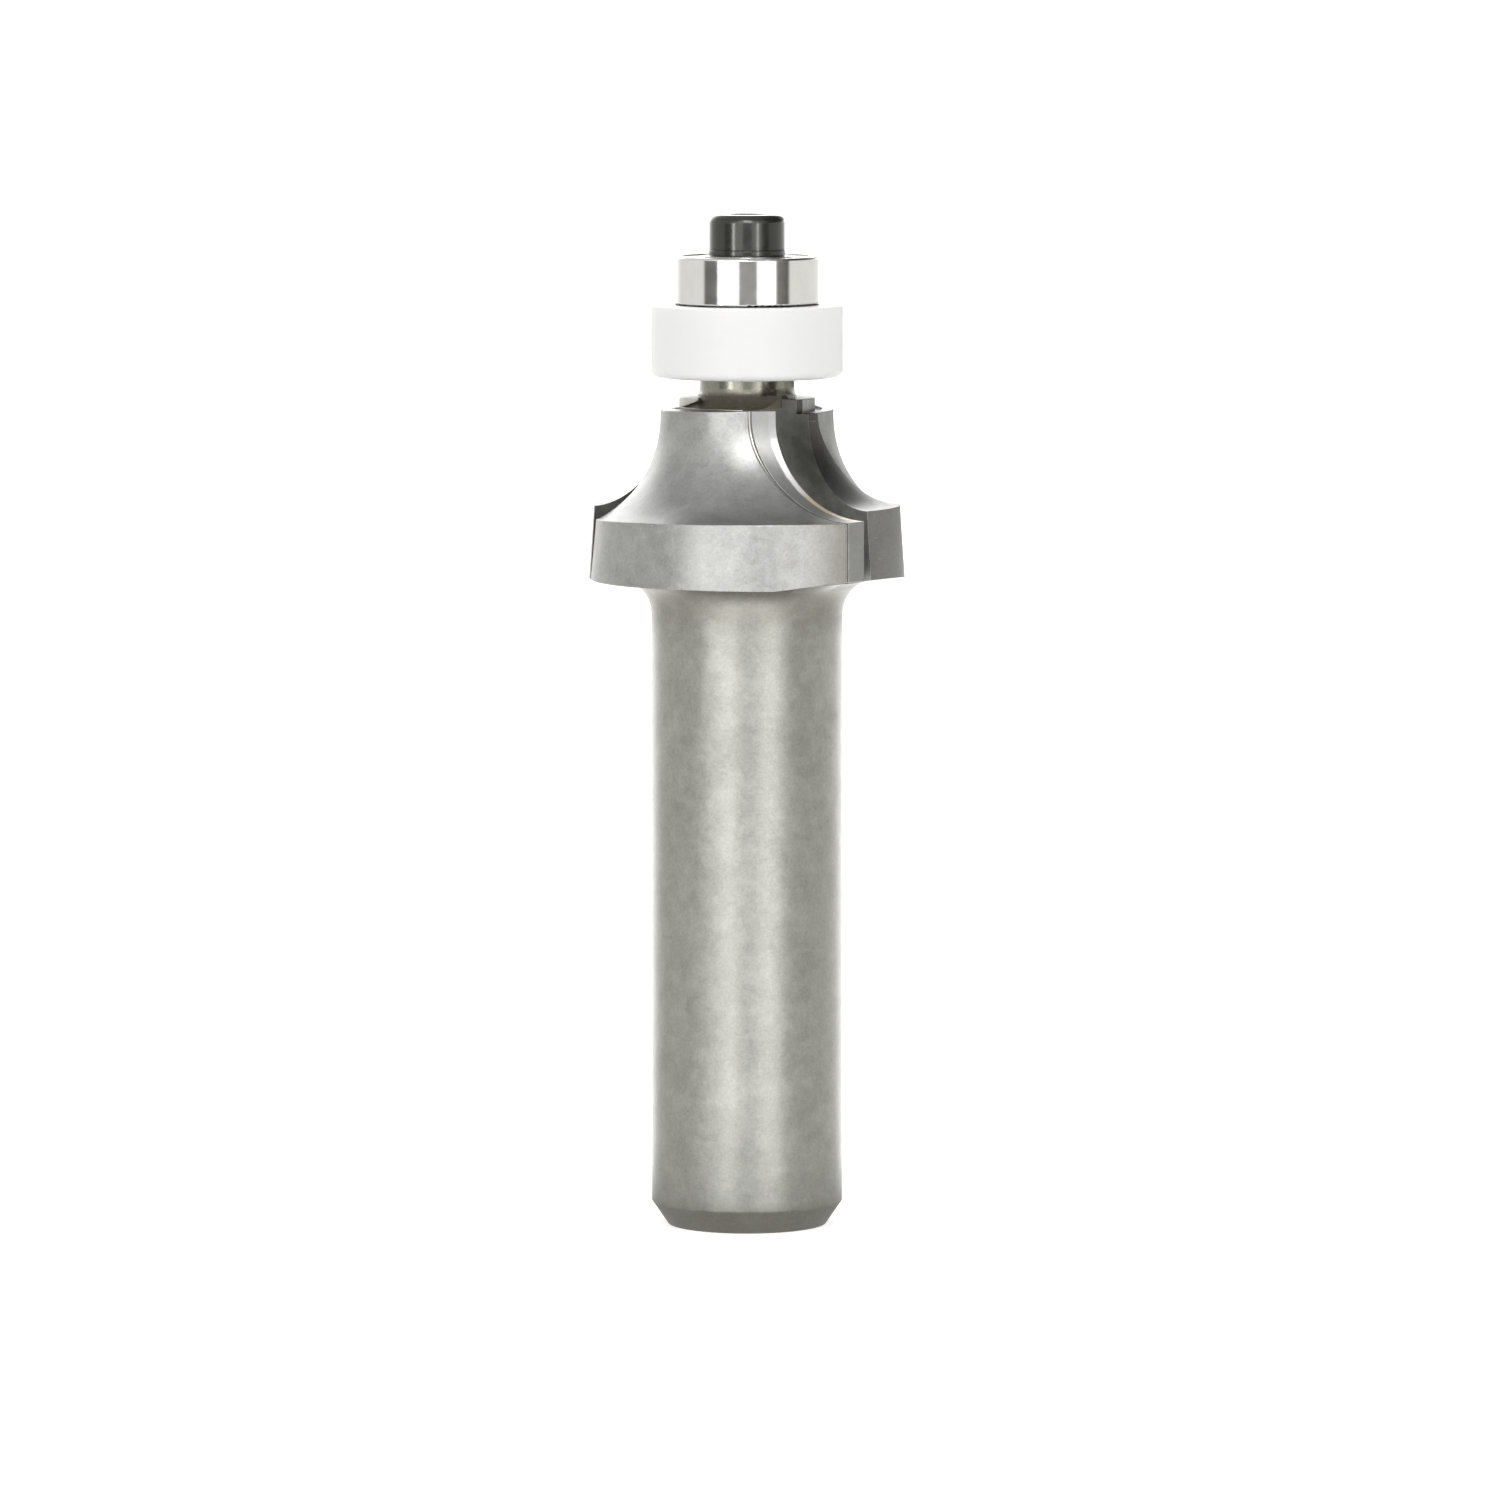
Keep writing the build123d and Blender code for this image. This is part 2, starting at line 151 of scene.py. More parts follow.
# Light tent round the bit, by the angle from the camera's side, left (-) to right (+): tone and warmth.
# A ring of hard soft-box edges stands level with the bearings; below and above it the same light is softer.
TENT_RADIUS = 0.16
TENT_HEIGHT = 0.5
TENT_FLOOR = 0.04 * MM
TENT_OPENING = 5.29 * MM
TENT_STEPS = 96
RING_TONES = (
    (-180, 1.6, 0.03), (-150, 1.3, 0.03), (-130, 0.9, 0.03), (-74, 0.93, 0.03), (-69, 0.17, 0.05),
    (-49, 0.20, 0.05), (-45, 2.0, 0.0), (-15, 2.0, 0.0), (-11, 0.36, 0.03), (14, 0.36, 0.03),
    (18, 1.8, 0.0), (45, 1.8, 0.0), (49, 0.26, 0.08), (68, 0.13, 0.14), (73, 0.95, 0.05),
    (130, 0.95, 0.05), (150, 1.0, 0.03), (180, 1.2, 0.03),
)
SOFT_TONES = (
    (-180, 2.4, 0.0), (-150, 2.0, 0.0), (-128, 1.0, 0.03), (-110, 0.9, 0.04), (-62, 0.9, 0.04),
    (-50, 1.2, 0.03), (-40, 1.6, 0.0), (-32, 1.65, 0.0), (-26, 2.3, 0.0), (-16, 2.6, 0.0),
    (-10, 1.5, 0.0), (10, 1.4, 0.0), (16, 2.1, 0.0), (34, 2.2, 0.0), (42, 1.2, 0.03),
    (50, 0.86, 0.04), (104, 0.9, 0.04), (126, 1.1, 0.03), (150, 2.0, 0.0), (180, 2.4, 0.0),
)

# Places in the tent. A lift is an angle above or below LIGHT_LEVEL, seen from the bit's axis.
# Two numbers are where something begins and is whole; four are begins, whole, fades, ends.
LIGHT_LEVEL = 0.05
RING_HEIGHTS = (36 * MM, 42 * MM, 60 * MM, 66 * MM)
BEARING_HEIGHTS = (49 * MM, 51 * MM, 59 * MM, 61 * MM)
CEILING_LIFT = (20.0, 38.0)
CEILING_TONE = 0.7
LIT_TABLE = (12 * MM, 34 * MM)
TABLE_SHADE = (7 * MM, 16 * MM)
SHADE_NEAR_FOOT = 0.6
SHADE_FURTHER_OUT = 0.58
PAPER_TURN = (128.0, 150.0)
PAPER_LIFT = (4.0, 10.0, 30.0, 42.0)
PAPER_TONE = 1.2
CURTAIN_TURN = (55.0, 72.0, 160.0, 172.0)
CURTAIN_LIFT = (5.0, 12.0)
LONG_END_TURN = (125.0, 140.0, 176.0, 180.0)
LONG_END_HEIGHT = (33 * MM, 36 * MM)
LONG_END_LIFT = (4.0, 2.0)
CURTAIN_OVERHEAD = (68.0, 48.0)
CURTAIN_OVERHEAD_SHARE = 0.3
CURTAIN_DARKNESS = 0.86

# Round lamps in the tent: azimuth, lift, half-angle, strength
ROUND_LAMPS = {
    "main": (0.0, 31.0, 14.0, 7.0),
    "left": (-41.0, 3.0, 4.0, 11.0),
    "right": (33.0, 5.0, 3.5, 11.0),
}
ROUND_LAMP_DISTANCE = 0.14
ROUND_LAMP_STEPS = 48

# Square lamps that light the bit and aren't reflected: place, size, power
SOFT_BOXES = {
    "soft_box_left": ((-0.45, -0.7, 0.35), 0.4, 1.0),
    "soft_box_right": ((0.45, -0.7, 0.35), 0.4, 1.0),
    "soft_box_top": ((0.0, 0.1, 0.9), 0.6, 3.0),
}
SOFT_BOX_AIM = (0, 0, 0.04)


# Small helpers for node trees

def add_node(tree, kind, **settings):
    node = tree.nodes.new(kind)
    for name, value in settings.items():
        setattr(node, name, value)
    return node


def join(tree, source, target):
    tree.links.new(source, target)


def put(tree, socket, value):
    """Link a socket, or set it where the value is a plain number, colour or vector."""
    if isinstance(value, bpy.types.NodeSocket):
        tree.links.new(value, socket)
    else:
        socket.default_value = value


def math_node(tree, operation, first, second=0.0, clamp=False):
    node = add_node(tree, "ShaderNodeMath", operation=operation, use_clamp=clamp)
    put(tree, node.inputs[0], first)
    put(tree, node.inputs[1], second)
    return node.outputs[0]


def product(tree, first, *others):
    total = first
    for other in others:
        total = math_node(tree, "MULTIPLY", total, other)
    return total


def rest_of(tree, share):
    """What a share leaves of one."""
    return math_node(tree, "SUBTRACT", 1.0, share)


def one_over(tree, size):
    return math_node(tree, "DIVIDE", 1.0, size)


def above(tree, value, limit):
    return math_node(tree, "GREATER_THAN", value, limit)


def below(tree, value, limit):
    return math_node(tree, "LESS_THAN", value, limit)


def in_degrees(tree, angle):
    return product(tree, angle, math.degrees(1.0))


def ramp(tree, value, low, high, out_low=0.0, out_high=1.0, smooth=False):
    kind = "SMOOTHSTEP" if smooth else "LINEAR"
    node = add_node(tree, "ShaderNodeMapRange", interpolation_type=kind)
    for socket, amount in zip(node.inputs, (value, low, high, out_low, out_high)):
        put(tree, socket, amount)
    return node.outputs[0]


def window(tree, value, begins, whole, fades, ends):
    """Mask that rises from begins to whole, and falls again from fades to ends."""
    return product(tree, ramp(tree, value, begins, whole), ramp(tree, value, ends, fades))


def mix_values(tree, share, first, second):
    node = add_node(tree, "ShaderNodeMix", data_type="FLOAT")
    put(tree, node.inputs[0], share)
    put(tree, node.inputs[2], first)
    put(tree, node.inputs[3], second)
    return node.outputs[0]


def mix_normal(tree, share, first, second):
    node = add_node(tree, "ShaderNodeMix", data_type="VECTOR")
    put(tree, node.inputs[0], share)
    put(tree, node.inputs[4], first)
    put(tree, node.inputs[5], second)
    return node.outputs[1]


def mix_colour(tree, share, first, second, blend="MIX"):
    node = add_node(tree, "ShaderNodeMix", data_type="RGBA", blend_type=blend)
    put(tree, node.inputs["Factor"], share)
    put(tree, node.inputs["A"], first)
    put(tree, node.inputs["B"], second)
    return node.outputs["Result"]


def noise(tree, place, scale, detail=2.0, roughness=0.5, distortion=0.0):
    node = add_node(tree, "ShaderNodeTexNoise")
    put(tree, node.inputs["Vector"], place)
    put(tree, node.inputs["Scale"], scale)
    put(tree, node.inputs["Detail"], detail)
    put(tree, node.inputs["Roughness"], roughness)
    put(tree, node.inputs["Distortion"], distortion)
    return node.outputs["Fac"]


def stretched(tree, place, scale):
    node = add_node(tree, "ShaderNodeVectorMath", operation="MULTIPLY")
    put(tree, node.inputs[0], place)
    put(tree, node.inputs[1], scale)
    return node.outputs[0]


def in_millimetres(tree, place):
    return stretched(tree, place, (1 / MM, 1 / MM, 1 / MM))


def dot(tree, first, second):
    node = add_node(tree, "ShaderNodeVectorMath", operation="DOT_PRODUCT")
    put(tree, node.inputs[0], first)
    put(tree, node.inputs[1], second)
    return node.outputs["Value"]


def parts_of(tree, vector):
    """The X, Y and Z of a vector."""
    node = add_node(tree, "ShaderNodeSeparateXYZ")
    join(tree, vector, node.inputs[0])
    return node.outputs


def from_axis(tree, place):
    """How far a place lies from the bit's axis."""
    node = add_node(tree, "ShaderNodeVectorMath", operation="LENGTH")
    join(tree, stretched(tree, place, (1, 1, 0)), node.inputs[0])
    return node.outputs["Value"]


def glow_of(tree, colour, strength):
    node = add_node(tree, "ShaderNodeEmission")
    put(tree, node.inputs["Color"], colour)
    put(tree, node.inputs["Strength"], strength)
    return node.outputs[0]


def sum_of(tree, first, second):
    node = add_node(tree, "ShaderNodeAddShader")
    join(tree, first, node.inputs[0])
    join(tree, second, node.inputs[1])
    return node.outputs[0]


def show(tree, surface, kind="ShaderNodeOutputMaterial"):
    """Send a shader to the tree's output."""
    join(tree, surface, add_node(tree, kind).inputs["Surface"])


def group_tree(name, inputs, outputs):
    """Empty shader group with named sockets: inputs are (name, kind, default) and outputs (name, kind)."""
    tree = bpy.data.node_groups.new(name, "ShaderNodeTree")
    for label, kind, default in inputs:
        socket = tree.interface.new_socket(label, in_out="INPUT", socket_type=kind)
        if default is not None:
            socket.default_value = default
    for label, kind in outputs:
        tree.interface.new_socket(label, in_out="OUTPUT", socket_type=kind)
    return tree, add_node(tree, "NodeGroupInput"), add_node(tree, "NodeGroupOutput")


def use_group(tree, group, **values):
    """Place a group and set its inputs; an underscore in a keyword stands for a space."""
    node = add_node(tree, "ShaderNodeGroup", node_tree=group)
    for name, value in values.items():
        put(tree, node.inputs[name.replace("_", " ").capitalize()], value)
    return node


# Shared effects. Sizes on their sockets are in millimetres, but for the radius of the edges.

def make_satin_grain():
    """Mottled satin of ground steel: fine speckle over soft blotches."""
    tree, given, result = group_tree(
        "satin grain",
        [("Vector", "NodeSocketVector", None),
         ("Speckle size", "NodeSocketFloat", 0.12),
         ("Speckle", "NodeSocketFloat", 0.1),
         ("Blotch size", "NodeSocketFloat", 1.5),
         ("Blotch", "NodeSocketFloat", 0.1)],
        [("Shade", "NodeSocketFloat"), ("Mask", "NodeSocketFloat")],
    )
    millimetres = in_millimetres(tree, given.outputs["Vector"])
    fine_scale = one_over(tree, given.outputs["Speckle size"])
    soft_scale = one_over(tree, given.outputs["Blotch size"])
    fine = noise(tree, millimetres, fine_scale, detail=2.0, roughness=0.6)
    soft = noise(tree, millimetres, soft_scale, detail=4.0, roughness=0.62, distortion=0.4)
    shade = 1.0
    for pattern, strength in ((fine, "Speckle"), (soft, "Blotch")):
        swing = math_node(tree, "SUBTRACT", pattern, 0.5)
        shade = math_node(tree, "ADD", shade, product(tree, swing, given.outputs[strength]))
    join(tree, shade, result.inputs["Shade"])
    join(tree, soft, result.inputs["Mask"])
    return tree


def make_turned_lines():
    """Rings left by turning or grinding about Z, on walls and on faces alike."""
    tree, given, result = group_tree(
        "turned lines",
        [("Vector", "NodeSocketVector", None),
         ("Pitch", "NodeSocketFloat", 0.08),
         ("Breaks", "NodeSocketFloat", 0.3)],
        [("Height", "NodeSocketFloat")],
    )
    millimetres = in_millimetres(tree, given.outputs["Vector"])
    x, y, z = parts_of(tree, millimetres)
    turn = math_node(tree, "ARCTAN2", y, x)
    rate = one_over(tree, given.outputs["Pitch"])
    place = add_node(tree, "ShaderNodeCombineXYZ")
    join(tree, product(tree, from_axis(tree, millimetres), rate), place.inputs["X"])
    join(tree, product(tree, z, rate), place.inputs["Y"])
    join(tree, product(tree, turn, given.outputs["Breaks"]), place.inputs["Z"])
    rings = noise(tree, place.outputs[0], scale=1.0, detail=2.0, roughness=0.7)
    join(tree, rings, result.inputs["Height"])
    return tree


def make_edge_wear():
    """Worn edges: where the rounded normal departs from the true one, broken up by noise."""
    tree, given, result = group_tree(
        "edge wear",
        [("Vector", "NodeSocketVector", None),
         ("Radius", "NodeSocketFloat", 0.12 * MM),
         ("Break-up", "NodeSocketFloat", 0.4)],
        [("Mask", "NodeSocketFloat"), ("Normal", "NodeSocketVector")],
    )
    rounded = add_node(tree, "ShaderNodeBevel", samples=6)
    join(tree, given.outputs["Radius"], rounded.inputs["Radius"])
    true_normal = add_node(tree, "ShaderNodeNewGeometry").outputs["Normal"]
    edge = ramp(tree, dot(tree, rounded.outputs["Normal"], true_normal), low=0.995, high=0.9)
    millimetres = in_millimetres(tree, given.outputs["Vector"])
    patches = noise(tree, millimetres, scale=2.2, detail=3.0, roughness=0.6)
    worn = math_node(tree, "SUBTRACT", patches, given.outputs["Break-up"])
    worn = math_node(tree, "MULTIPLY", worn, 4.0, clamp=True)
    # Inner corners don't wear, so they are left out by how shut in they are
    open_sky = add_node(tree, "ShaderNodeAmbientOcclusion", samples=4, only_local=True)
    join(tree, product(tree, given.outputs["Radius"], 3.0), open_sky.inputs["Distance"])
    outside = ramp(tree, open_sky.outputs["AO"], low=0.72, high=0.92)
    join(tree, product(tree, edge, worn, outside), result.inputs["Mask"])
    join(tree, rounded.outputs["Normal"], result.inputs["Normal"])
    return tree


def make_stains():
    """Thin brownish stains left by handling and old pitch, in soft islands."""
    tree, given, result = group_tree(
        "handling stains",
        [("Vector", "NodeSocketVector", None),
         ("Size", "NodeSocketFloat", 4.0),
         ("Cover", "NodeSocketFloat", 0.4)],
        [("Mask", "NodeSocketFloat")],
    )
    millimetres = in_millimetres(tree, given.outputs["Vector"])
    rate = one_over(tree, given.outputs["Size"])
    islands = noise(tree, millimetres, rate, detail=5.0, roughness=0.65, distortion=0.6)
    shore = rest_of(tree, given.outputs["Cover"])
    inland = math_node(tree, "ADD", shore, 0.22)
    join(tree, ramp(tree, islands, shore, inland, smooth=True), result.inputs["Mask"])
    return tree


def make_scratches():
    """Sparse fine scratches in crossing directions."""
    tree, given, result = group_tree(
        "fine scratches",
        [("Vector", "NodeSocketVector", None),
         ("Spacing", "NodeSocketFloat", 1.2)],
        [("Mask", "NodeSocketFloat")],
    )
    millimetres = in_millimetres(tree, given.outputs["Vector"])
    rate = one_over(tree, given.outputs["Spacing"])
    marks = []
    for direction in ((14.0, 14.0, 1.2), (1.4, 1.4, 16.0)):
        bent = noise(tree, stretched(tree, millimetres, direction), rate, detail=3.0, distortion=1.1)
        marks.append(ramp(tree, bent, low=0.67, high=0.74))
    join(tree, math_node(tree, "MAXIMUM", marks[0], marks[1]), result.inputs["Mask"])
    return tree


def make_wing_plan():
    """Plan of the two wings: masks of their ground surfaces and gullets, and the distance behind the face."""
    tree, given, result = group_tree(
        "wing plan",
        [("Vector", "NodeSocketVector", None)],
        [("Ground", "NodeSocketFloat"), ("Gullet", "NodeSocketFloat"), ("Behind face", "NodeSocketFloat")],
    )

    def measured_along(heading):
        angle = math.radians(heading)
        return dot(tree, given.outputs["Vector"], (math.cos(angle), math.sin(angle), 0))

    back = measured_along(RAKE_HEADING - 90)
    side = math_node(tree, "SIGN", back)
    outwards = product(tree, measured_along(RAKE_HEADING), side)
    past_tail = product(tree, measured_along(RAKE_HEADING - WING_SWEEP - 90), side)
    depth = math_node(tree, "ABSOLUTE", back)
    ahead = product(tree, below(tree, depth, RAKE_OFFSET - MASK_REACH), above(tree, outwards, 0.0))
    ground = product(tree, below(tree, past_tail, STEEL_OFFSET), rest_of(tree, ahead))
    gullet = product(
        tree,
        above(tree, outwards, GULLET_FLOOR - 2 * MASK_REACH),
        above(tree, depth, GULLET_FAR_WALL - MASK_REACH),
        ahead,
    )
    join(tree, ground, result.inputs["Ground"])
    join(tree, gullet, result.inputs["Gullet"])
    join(tree, math_node(tree, "SUBTRACT", depth, RAKE_OFFSET), result.inputs["Behind face"])
    return tree


def make_pitch_and_painted_neck_light():
    """Pitch in the pockets beside the neck, painted light on the boss's shaded wall beside them, and painted
    dark reflections down the neck.
    """
    tree, given, result = group_tree(
        "old pitch",
        [("Vector", "NodeSocketVector", None)],
        [("Pocket", "NodeSocketFloat"), ("Painted boss light", "NodeSocketFloat"), ("Streaks", "NodeSocketFloat")],
    )
    x, y, z = parts_of(tree, given.outputs["Vector"])
    side = math_node(tree, "SIGN", product(tree, y, -1.0))
    across = product(tree, x, side)
    outwards = product(tree, y, side, -1.0)
    over_head = above(tree, z, head_top - MASK_REACH)
    pocket = product(tree, above(tree, across, POCKET_FROM), below(tree, across, POCKET_TO), over_head)
    # Painted light on the shaded wall of the boss beside the pocket
    painted_boss_light = product(tree, window(tree, across, *BOSS_LIGHT_ACROSS), over_head, ramp(tree, z, *BOSS_LIGHT_UP_TO))
    # Painted dark reflection in streaks at these turns round the neck, broken up by the grain
    degrees = in_degrees(tree, math_node(tree, "ARCTAN2", across, outwards))
    near = window(tree, degrees, *NEAR_DARK_REFLECTION_TURN)
    far = product(tree, ramp(tree, degrees, *FAR_DARK_REFLECTION_TURN), FAR_DARK_REFLECTION_SHARE)
    grain = use_group(tree, satin_grain, vector=given.outputs["Vector"], blotch_size=0.5)
    ragged = ramp(tree, grain.outputs["Mask"], low=0.25, high=0.5)
    join(tree, pocket, result.inputs["Pocket"])
    join(tree, painted_boss_light, result.inputs["Painted boss light"])
    join(tree, product(tree, math_node(tree, "MAXIMUM", near, far), ragged), result.inputs["Streaks"])
    return tree


satin_grain = make_satin_grain()
turned_lines = make_turned_lines()
edge_wear = make_edge_wear()
handling_stains = make_stains()
fine_scratches = make_scratches()
wing_plan = make_wing_plan()
pitch_and_painted_neck_light = make_pitch_and_painted_neck_light()


# Materials

def empty_material(name):
    material = bpy.data.materials.new(name)
    material.use_nodes = True
    material.node_tree.nodes.clear()
    return material, material.node_tree


def new_material(name):
    """Material with one Principled shader, and the Object coordinates that its patterns read."""
    material, tree = empty_material(name)
    shader = add_node(tree, "ShaderNodeBsdfPrincipled")
    show(tree, shader.outputs["BSDF"])
    place = add_node(tree, "ShaderNodeTexCoord").outputs["Object"]
    return material, tree, shader, place


def bump(tree, height, distance, strength, normal=None):
    node = add_node(tree, "ShaderNodeBump")
    put(tree, node.inputs["Height"], height)
    put(tree, node.inputs["Distance"], distance)
    put(tree, node.inputs["Strength"], strength)
    if normal is not None:
        join(tree, normal, node.inputs["Normal"])
    return node.outputs["Normal"]


def shade_colour(tree, colour, grain):
    """Multiply a colour by the grain's shade."""
    shade = add_node(tree, "ShaderNodeCombineColor")
    for socket in shade.inputs:
        join(tree, grain.outputs["Shade"], socket)
    return mix_colour(tree, 1.0, colour, shade.outputs[0], "MULTIPLY")


def tint(tree, mask, share, colour, over):
    """Lay a colour over another where a mask is, at most by a share."""
    return mix_colour(tree, product(tree, mask, share), over, colour)


def make_body_steel():
    """Ground satin steel of the shank and wings, with painted shade on the core and painted light low on it
    and the gullet, painted light on the boss and painted dark reflections on the neck, painted shade under
    the flange and beside the cutting edge, and pitch in the pockets.
    """
    material, tree, shader, place = new_material("body steel")
    level = parts_of(tree, place)["Z"]
    plan = use_group(tree, wing_plan, vector=place)
    pitch = use_group(tree, pitch_and_painted_neck_light, vector=place)
    grain = use_group(
        tree, satin_grain, vector=place, speckle_size=0.16, speckle=0.42, blotch_size=0.9, blotch=0.45,
    )
    clouds = use_group(
        tree, satin_grain, vector=place, speckle_size=0.3, speckle=0.15, blotch_size=2.4, blotch=0.5,
    )
    lines = use_group(tree, turned_lines, vector=place, pitch=0.05, breaks=0.35)
    wear = use_group(tree, edge_wear, vector=place, radius=0.12 * MM)
    stains = use_group(tree, handling_stains, vector=place, size=3.4, cover=0.42)
    marks = use_group(tree, fine_scratches, vector=place, spacing=1.6)

    on_shank = ramp(tree, level, *SHANK_BEGINS)
    on_neck = ramp(tree, level, *NECK_BEGINS)
    on_head = math_node(tree, "SUBTRACT", rest_of(tree, on_shank), on_neck)
    on_core = product(tree, rest_of(tree, plan.outputs["Ground"]), on_head)
    off_rim = ramp(tree, level, *OFF_THE_RIM)

    # Painted shade and light by height: the core and gullet are painted dark up high and lighter low down,
    # where the cove faces up
    painted_light_low = ramp(tree, level, *PAINTED_LIGHT_LOW_HEIGHTS, smooth=True)
    core_painted_shade_and_light = mix_colour(tree, painted_light_low, CORE_PAINTED_SHADE, CORE_PAINTED_LIGHT_LOW)
    milled_with_painted_light = mix_colour(tree, painted_light_low, MILLED_STEEL, MILLED_STEEL_PAINTED_LIGHT_LOW)
    # The neck's own colour, with the painted dark reflection in streaks
    neck = mix_colour(tree, pitch.outputs["Streaks"], NECK_STEEL, NECK_PAINTED_DARK_REFLECTION)
    steel = core_painted_shade_and_light
    for share, colour in (
        (plan.outputs["Ground"], WING_STEEL),
        (plan.outputs["Gullet"], milled_with_painted_light),
        (on_shank, SHANK_STEEL),
        (pitch.outputs["Pocket"], POCKET_PITCH),
        (pitch.outputs["Painted boss light"], BOSS_PAINTED_LIGHT),
        (on_neck, neck),
    ):
        steel = mix_colour(tree, share, steel, colour)
    steel = shade_colour(tree, shade_colour(tree, steel, grain), clouds)

    # Brown film at the shank's end: partly stain, partly painted shade on the chamfer
    above_end = ramp(tree, level, *END_FILM_AND_SHADE, smooth=True)
    # Painted shade under the flange, laid on in the brown film's colour
    painted_shade_under_flange = product(
        tree,
        ramp(tree, level, *FLANGE_PAINTED_SHADE, smooth=True),
        ramp(tree, level, *FLANGE_PAINTED_SHADE_TOP),
    )
    # Painted shade on the ground wing beside the cutting edge, in the brown film's colour
    painted_shade_beside_edge = product(
        tree,
        ramp(tree, plan.outputs["Behind face"], *EDGE_PAINTED_SHADE),
        ramp(tree, level, *EDGE_PAINTED_SHADE_TOP),
        rest_of(tree, on_shank),
        plan.outputs["Ground"],
    )
    # Stains anywhere, and painted shade at the end, under the flange and beside the cutting edge
    film_and_painted_shade = product(tree, stains.outputs["Mask"], STAIN_SHARE)
    for cover, share in (
        (above_end, END_FILM_AND_SHADE_SHARE),
        (painted_shade_under_flange, FLANGE_PAINTED_SHADE_SHARE),
        (painted_shade_beside_edge, EDGE_PAINTED_SHADE_SHARE),
    ):
        film_and_painted_shade = math_node(tree, "ADD", film_and_painted_shade, product(tree, cover, share), clamp=True)
    steel = mix_colour(tree, film_and_painted_shade, steel, BROWN_FILM_AND_PAINTED_SHADE)
    steel = tint(tree, marks.outputs["Mask"], 0.25, SCRATCHED_STEEL, steel)
    off_core = ramp(tree, on_core, 0.0, 1.0, out_low=0.7, out_high=0.0)
    steel = mix_colour(tree, product(tree, off_core, off_rim, wear.outputs["Mask"]), steel, WORN_STEEL)
    join(tree, steel, shader.inputs["Base Color"])

    rough = ramp(tree, grain.outputs["Mask"], 0.3, 0.7, out_low=0.27, out_high=0.36)
    for share, change in ((on_head, 0.09), (on_neck, -0.06), (film_and_painted_shade, 0.3)):
        rough = math_node(tree, "ADD", rough, product(tree, share, change))
    join(tree, rough, shader.inputs["Roughness"])
    # Pitch in the pockets and the painted light on the boss are less metallic
    pitch_and_boss_light = math_node(tree, "MAXIMUM", pitch.outputs["Pocket"], pitch.outputs["Painted boss light"])
    pitch_and_boss_light = product(tree, pitch_and_boss_light, rest_of(tree, on_neck))
    join(tree, ramp(tree, pitch_and_boss_light, 0.0, 1.0, out_low=1.0, out_high=0.3), shader.inputs["Metallic"])

    relief = math_node(tree, "ADD", product(tree, lines.outputs["Height"], 0.6), grain.outputs["Shade"])
    sharp = add_node(tree, "ShaderNodeNewGeometry").outputs["Normal"]
    unrounded = math_node(tree, "MAXIMUM", on_core, rest_of(tree, off_rim))
    edges = mix_normal(tree, unrounded, wear.outputs["Normal"], sharp)
    join(tree, bump(tree, relief, distance=0.004 * MM, strength=0.6, normal=edges), shader.inputs["Normal"])
    return material


def make_carbide():
    """Fine-ground cutting plate, honed along its edge with a painted highlight on that strip, faded near the
    top, and browned by pitch low on the cove.
    """
    material, tree, shader, place = new_material("carbide")
    level = parts_of(tree, place)["Z"]
    behind = use_group(tree, wing_plan, vector=place).outputs["Behind face"]
    grain = use_group(
        tree, satin_grain, vector=place, speckle_size=0.08, speckle=0.2, blotch_size=0.8, blotch=0.3,
    )
    wear = use_group(tree, edge_wear, vector=place, radius=0.05 * MM)
    strokes = stretched(tree, in_millimetres(tree, place), (6, 6, 40))
    strokes = noise(tree, strokes, scale=1.0, detail=2.0, roughness=0.7)

    ragged = product(tree, math_node(tree, "SUBTRACT", grain.outputs["Mask"], 0.5), HONED_HIGHLIGHT_RAGGED)
    # The honed strip is partly a painted highlight: near white, and faded near the plate's top
    honed_highlight = product(
        tree,
        ramp(tree, math_node(tree, "ADD", behind, ragged), *HONED_HIGHLIGHT_WIDTH),
        ramp(tree, behind, *HONED_HIGHLIGHT_FROM_FACE),
        ramp(tree, level, *HONED_HIGHLIGHT_FOOT),
        ramp(tree, level, *HONED_HIGHLIGHT_TOP, out_low=HONED_HIGHLIGHT_TOP_SHARE, out_high=1.0),
    )
    pitched = ramp(tree, level, *HONED_HIGHLIGHT_PITCH, smooth=True)
    bright = mix_colour(tree, pitched, HONED_PAINTED_HIGHLIGHT, PITCHED_PAINTED_HIGHLIGHT)
    colour = mix_colour(tree, honed_highlight, shade_colour(tree, CARBIDE, grain), bright)
    colour = tint(tree, wear.outputs["Mask"], 0.5, WORN_CARBIDE, colour)
    join(tree, colour, shader.inputs["Base Color"])
    join(tree, ramp(tree, strokes, 0.3, 0.7, out_low=0.32, out_high=0.44), shader.inputs["Roughness"])
    shader.inputs["Metallic"].default_value = 1.0
    surface = bump(tree, strokes, distance=0.002 * MM, strength=0.5, normal=wear.outputs["Normal"])
    join(tree, surface, shader.inputs["Normal"])
    return material


def make_braze():
    """Brazing alloy, a dull silvery line beside the plate."""
    material, tree, shader, place = new_material("braze")
    grain = use_group(
        tree, satin_grain, vector=place, speckle_size=0.09, speckle=0.4, blotch_size=0.7, blotch=0.6,
    )
    mask = grain.outputs["Mask"]
    join(tree, mix_colour(tree, ramp(tree, mask, 0.4, 0.65), BRAZE, DULL_BRAZE), shader.inputs["Base Color"])
    join(tree, ramp(tree, mask, 0.3, 0.7, out_low=0.3, out_high=0.5), shader.inputs["Roughness"])
    shader.inputs["Metallic"].default_value = 1.0
    surface = bump(tree, grain.outputs["Shade"], distance=0.01 * MM, strength=0.6)
    join(tree, surface, shader.inputs["Normal"])
    return material


